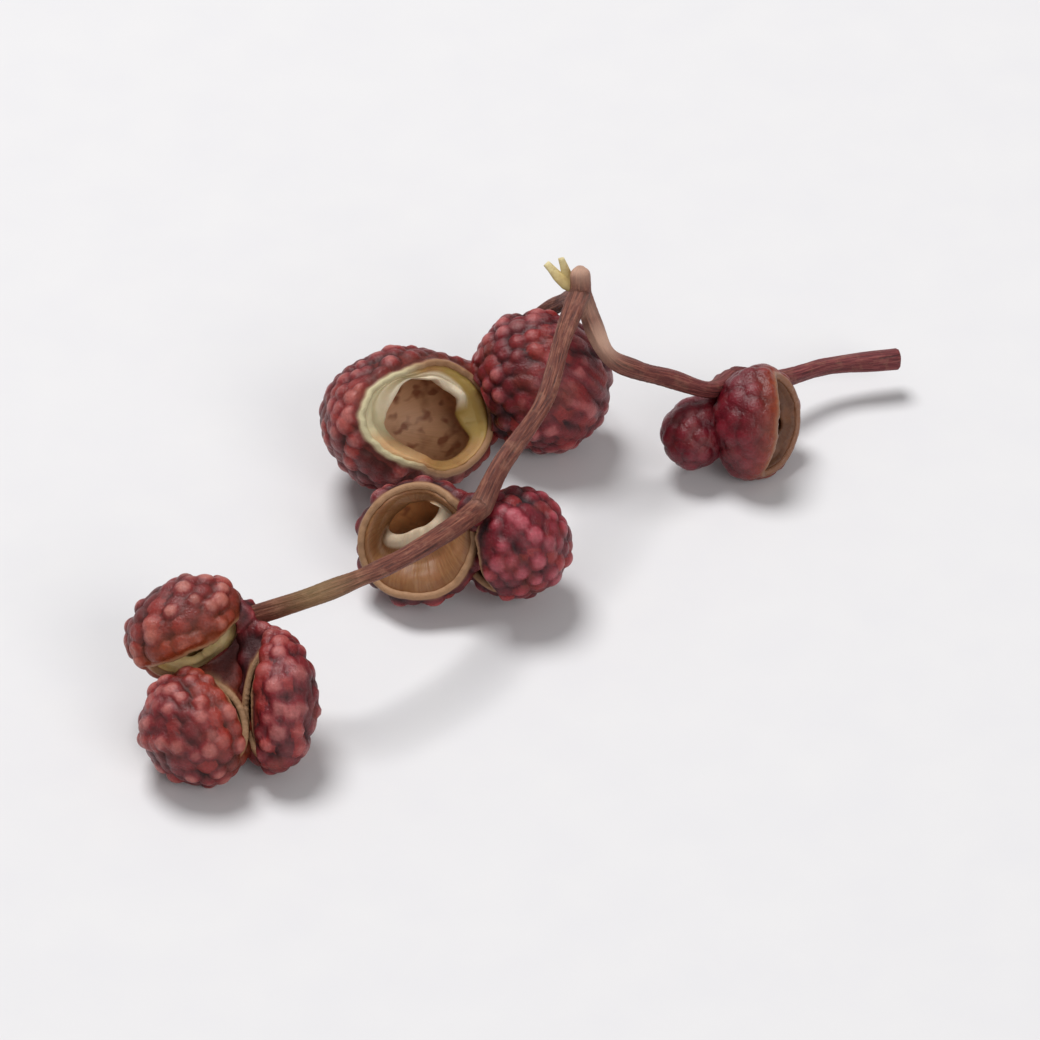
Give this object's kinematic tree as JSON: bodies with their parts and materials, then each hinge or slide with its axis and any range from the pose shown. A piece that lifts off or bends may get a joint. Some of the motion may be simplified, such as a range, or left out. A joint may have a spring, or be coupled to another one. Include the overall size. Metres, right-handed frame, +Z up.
{
  "type": "dried Sichuan pepper sprig",
  "caption": "Dried Sichuan pepper sprig: a thin forked stalk with small warty red husks, some split open to show a folded tan lining.",
  "frame": {"origin": "middle of the sprig's footprint, on the table", "axes": "+X along the sprig towards the stalk's picked end, +Y away from the viewer, +Z up"},
  "size_m": [0.026, 0.0218, 0.0077],
  "materials": {
    "stalk": "matt dried bark",
    "husk": "dry warty skin, faintly waxy",
    "lining": "satin, parchment-like"
  },
  "bodies": {
    "root": {"stalk": "stalk", "upper_fruit_husk": "husk", "upper_fruit_lining": "lining", "middle_fruit_husk": "husk", "middle_fruit_lining": "lining", "left_fruit_husk": "husk", "left_fruit_lining": "lining", "right_fruit_husk": "husk", "right_fruit_lining": "lining"}
  },
  "joints": []
}
